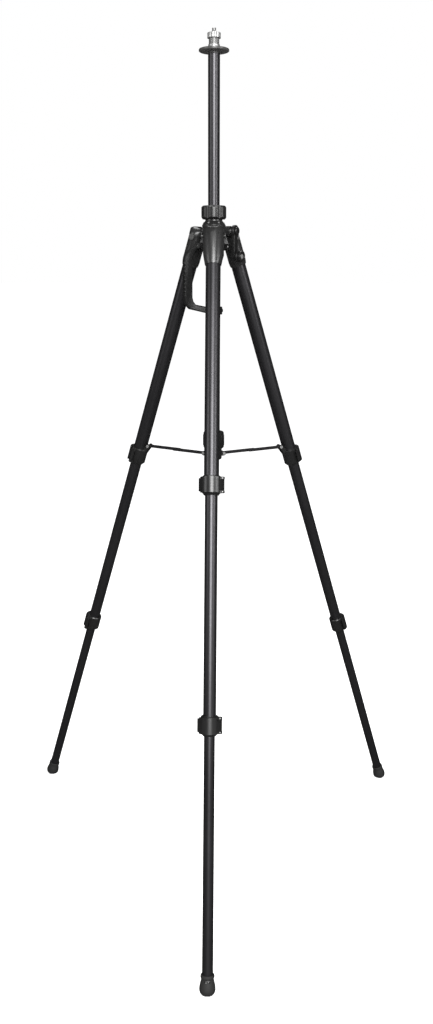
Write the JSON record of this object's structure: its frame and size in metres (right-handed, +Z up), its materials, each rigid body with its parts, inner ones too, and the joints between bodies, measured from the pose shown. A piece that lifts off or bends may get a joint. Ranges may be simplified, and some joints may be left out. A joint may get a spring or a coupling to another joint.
{
  "type": "elevator tripod",
  "caption": "Surveying tripod with a crank-raised centre column, telescopic clamp legs, a mid spreader, a carry handle and a round head plate with a threaded stud.",
  "frame": {"origin": "on the floor, at the middle of the box around the three feet", "axes": "+Z up along the centre column, -Y towards the front leg, +X towards the right leg"},
  "size_m": [0.7066, 0.615, 1.3645],
  "materials": {
    "anodised_tube": "satin black anodised",
    "moulded_black": "fine moulded grain, satin",
    "hub_grey": "satin moulded, slightly glossy",
    "rubber": "matt",
    "steel": "bright turned",
    "plate_black": "satin black"
  },
  "bodies": {
    "hub": {"canopy_hub": "hub_grey", "guide_tube": "anodised_tube", "carry_handle": "moulded_black", "handle_pin": "steel"},
    "collar": {"lock_collar": "moulded_black"},
    "column": {"center_column": "anodised_tube", "column_plug": "moulded_black", "head_plate": "plate_black", "threaded_stud": "steel", "adapter_cap": "steel", "mount_screw": "steel"},
    "crank": {"crank_shaft": "steel", "crank_arm": "moulded_black", "crank_cap": "moulded_black", "crank_knob_pin": "steel"},
    "knob": {"crank_knob": "moulded_black"},
    "tension": {"tension_knob": "moulded_black"},
    "spreader": {"spreader_hub": "moulded_black", "brace_pin_inner_front": "steel", "brace_pin_inner_right": "steel", "brace_pin_inner_left": "steel"},
    "leg_front": {"leg_bracket_front": "hub_grey", "leg_pivot_pin_front": "steel", "upper_leg_front": "anodised_tube", "upper_clamp_front": "moulded_black", "brace_pin_outer_front": "steel"},
    "middle_front": {"middle_leg_front": "anodised_tube", "lower_clamp_front": "moulded_black"},
    "lower_front": {"lower_leg_front": "anodised_tube", "foot_front": "rubber"},
    "upper_lever_front": {"upper_lever_front": "moulded_black"},
    "lower_lever_front": {"lower_lever_front": "moulded_black"},
    "strut_inner_front": {"strut_inner_front": "anodised_tube"},
    "strut_outer_front": {"strut_outer_front": "anodised_tube"},
    "leg_right": {"leg_bracket_right": "hub_grey", "leg_pivot_pin_right": "steel", "upper_leg_right": "anodised_tube", "upper_clamp_right": "moulded_black", "brace_pin_outer_right": "steel"},
    "middle_right": {"middle_leg_right": "anodised_tube", "lower_clamp_right": "moulded_black"},
    "lower_right": {"lower_leg_right": "anodised_tube", "foot_right": "rubber"},
    "upper_lever_right": {"upper_lever_right": "moulded_black"},
    "lower_lever_right": {"lower_lever_right": "moulded_black"},
    "strut_inner_right": {"strut_inner_right": "anodised_tube"},
    "strut_outer_right": {"strut_outer_right": "anodised_tube"},
    "leg_left": {"leg_bracket_left": "hub_grey", "leg_pivot_pin_left": "steel", "upper_leg_left": "anodised_tube", "upper_clamp_left": "moulded_black", "brace_pin_outer_left": "steel"},
    "middle_left": {"middle_leg_left": "anodised_tube", "lower_clamp_left": "moulded_black"},
    "lower_left": {"lower_leg_left": "anodised_tube", "foot_left": "rubber"},
    "upper_lever_left": {"upper_lever_left": "moulded_black"},
    "lower_lever_left": {"lower_lever_left": "moulded_black"},
    "strut_inner_left": {"strut_inner_left": "anodised_tube"},
    "strut_outer_left": {"strut_outer_left": "anodised_tube"}
  },
  "joints": [
    {"name": "column_slide", "type": "slide", "parent": "hub", "child": "column", "axis": [0, 0, 1], "range_m": [-0.2, 0]},
    {"name": "collar_turn", "type": "hinge", "parent": "hub", "child": "collar", "pos_m": [0, 0.09862, 1.105], "axis": [0, 0, 1], "range_deg": [0, 90]},
    {"name": "crank_turn", "type": "hinge", "parent": "hub", "child": "crank", "pos_m": [0.03464, 0.07862, 1.076], "axis": [0.866, -0.5, 0], "range_deg": [-1920, 10]},
    {"name": "knob_spin", "type": "hinge", "parent": "crank", "child": "knob", "pos_m": [0.04157, 0.07462, 1.038], "axis": [0.866, -0.5, 0], "continuous": true},
    {"name": "tension_turn", "type": "hinge", "parent": "hub", "child": "tension", "pos_m": [0.02165, 0.08612, 1.052], "axis": [0.866, -0.5, 0], "range_deg": [0, 90]},
    {"name": "spreader_slide", "type": "slide", "parent": "hub", "child": "spreader", "axis": [0, 0, 1], "range_m": [0, 0.10006]},
    {"name": "fold_front", "type": "hinge", "parent": "hub", "child": "leg_front", "pos_m": [0, 0.06852, 1.068], "axis": [1, 0, 0], "range_deg": [0, 18.3]},
    {"name": "middle_slide_front", "type": "slide", "parent": "leg_front", "child": "middle_front", "axis": [0, -0.3242, -0.946], "range_m": [-0.31, 0]},
    {"name": "lower_slide_front", "type": "slide", "parent": "middle_front", "child": "lower_front", "axis": [0, -0.3242, -0.946], "range_m": [-0.31, 0]},
    {"name": "upper_lever_turn_front", "type": "hinge", "parent": "leg_front", "child": "upper_lever_front", "pos_m": [0.0166, -0.05798, 0.70511], "axis": [0, 0.3242, 0.946], "range_deg": [0, 100]},
    {"name": "lower_lever_turn_front", "type": "hinge", "parent": "middle_front", "child": "lower_lever_front", "pos_m": [0.0156, -0.17413, 0.36626], "axis": [0, 0.3242, 0.946], "range_deg": [0, 100]},
    {"name": "strut_inner_turn_front", "type": "hinge", "parent": "spreader", "child": "strut_inner_front", "pos_m": [0, 0.08162, 0.7212], "axis": [1, 0, 0], "range_deg": [0, 90.1]},
    {"name": "strut_outer_turn_front", "type": "hinge", "parent": "leg_front", "child": "strut_outer_front", "pos_m": [0, -0.03238, 0.7212], "axis": [1, 0, 0], "range_deg": [0, 71.8]},
    {"name": "fold_right", "type": "hinge", "parent": "hub", "child": "leg_right", "pos_m": [0.02607, 0.11367, 1.068], "axis": [-0.5, 0.866, 0], "range_deg": [0, 18.3]},
    {"name": "middle_slide_right", "type": "slide", "parent": "leg_right", "child": "middle_right", "axis": [0.2808, 0.1621, -0.946], "range_m": [-0.31, 0]},
    {"name": "lower_slide_right", "type": "slide", "parent": "middle_right", "child": "lower_right", "axis": [0.2808, 0.1621, -0.946], "range_m": [-0.31, 0]},
    {"name": "upper_lever_turn_right", "type": "hinge", "parent": "leg_right", "child": "upper_lever_right", "pos_m": [0.12732, 0.1913, 0.70511], "axis": [-0.2808, -0.1621, 0.946], "range_deg": [0, 100]},
    {"name": "lower_lever_turn_right", "type": "hinge", "parent": "middle_right", "child": "lower_lever_right", "pos_m": [0.2284, 0.2485, 0.36626], "axis": [-0.2808, -0.1621, 0.946], "range_deg": [0, 100]},
    {"name": "strut_inner_turn_right", "type": "hinge", "parent": "spreader", "child": "strut_inner_right", "pos_m": [0.01472, 0.10712, 0.7212], "axis": [-0.5, 0.866, 0], "range_deg": [0, 90.1]},
    {"name": "strut_outer_turn_right", "type": "hinge", "parent": "leg_right", "child": "strut_outer_right", "pos_m": [0.11345, 0.16412, 0.7212], "axis": [-0.5, 0.866, 0], "range_deg": [0, 71.8]},
    {"name": "fold_left", "type": "hinge", "parent": "hub", "child": "leg_left", "pos_m": [-0.02607, 0.11367, 1.068], "axis": [-0.5, -0.866, 0], "range_deg": [0, 18.3]},
    {"name": "middle_slide_left", "type": "slide", "parent": "leg_left", "child": "middle_left", "axis": [-0.2808, 0.1621, -0.946], "range_m": [-0.31, 0]},
    {"name": "lower_slide_left", "type": "slide", "parent": "middle_left", "child": "lower_left", "axis": [-0.2808, 0.1621, -0.946], "range_m": [-0.31, 0]},
    {"name": "upper_lever_turn_left", "type": "hinge", "parent": "leg_left", "child": "upper_lever_left", "pos_m": [-0.14392, 0.16254, 0.70511], "axis": [0.2808, -0.1621, 0.946], "range_deg": [0, 100]},
    {"name": "lower_lever_turn_left", "type": "hinge", "parent": "middle_left", "child": "lower_lever_left", "pos_m": [-0.244, 0.22148, 0.36626], "axis": [0.2808, -0.1621, 0.946], "range_deg": [0, 100]},
    {"name": "strut_inner_turn_left", "type": "hinge", "parent": "spreader", "child": "strut_inner_left", "pos_m": [-0.01472, 0.10712, 0.7212], "axis": [-0.5, -0.866, 0], "range_deg": [0, 90.1]},
    {"name": "strut_outer_turn_left", "type": "hinge", "parent": "leg_left", "child": "strut_outer_left", "pos_m": [-0.11345, 0.16412, 0.7212], "axis": [-0.5, -0.866, 0], "range_deg": [0, 71.8]}
  ],
  "couplings": [
    {"joint": "crank_turn", "follows": "column_slide", "rad_per_m": 166.67},
    {"joint": "strut_inner_turn_front", "follows": "fold_front", "ratio": 4.918},
    {"joint": "strut_outer_turn_front", "follows": "fold_front", "ratio": 3.918},
    {"joint": "fold_right", "follows": "fold_front", "ratio": 1},
    {"joint": "strut_inner_turn_right", "follows": "fold_front", "ratio": 4.918},
    {"joint": "strut_outer_turn_right", "follows": "fold_front", "ratio": 3.918},
    {"joint": "fold_left", "follows": "fold_front", "ratio": 1},
    {"joint": "strut_inner_turn_left", "follows": "fold_front", "ratio": 4.918},
    {"joint": "strut_outer_turn_left", "follows": "fold_front", "ratio": 3.918},
    {"joint": "spreader_slide", "follows": "fold_front", "m_per_rad": 0.31265}
  ]
}
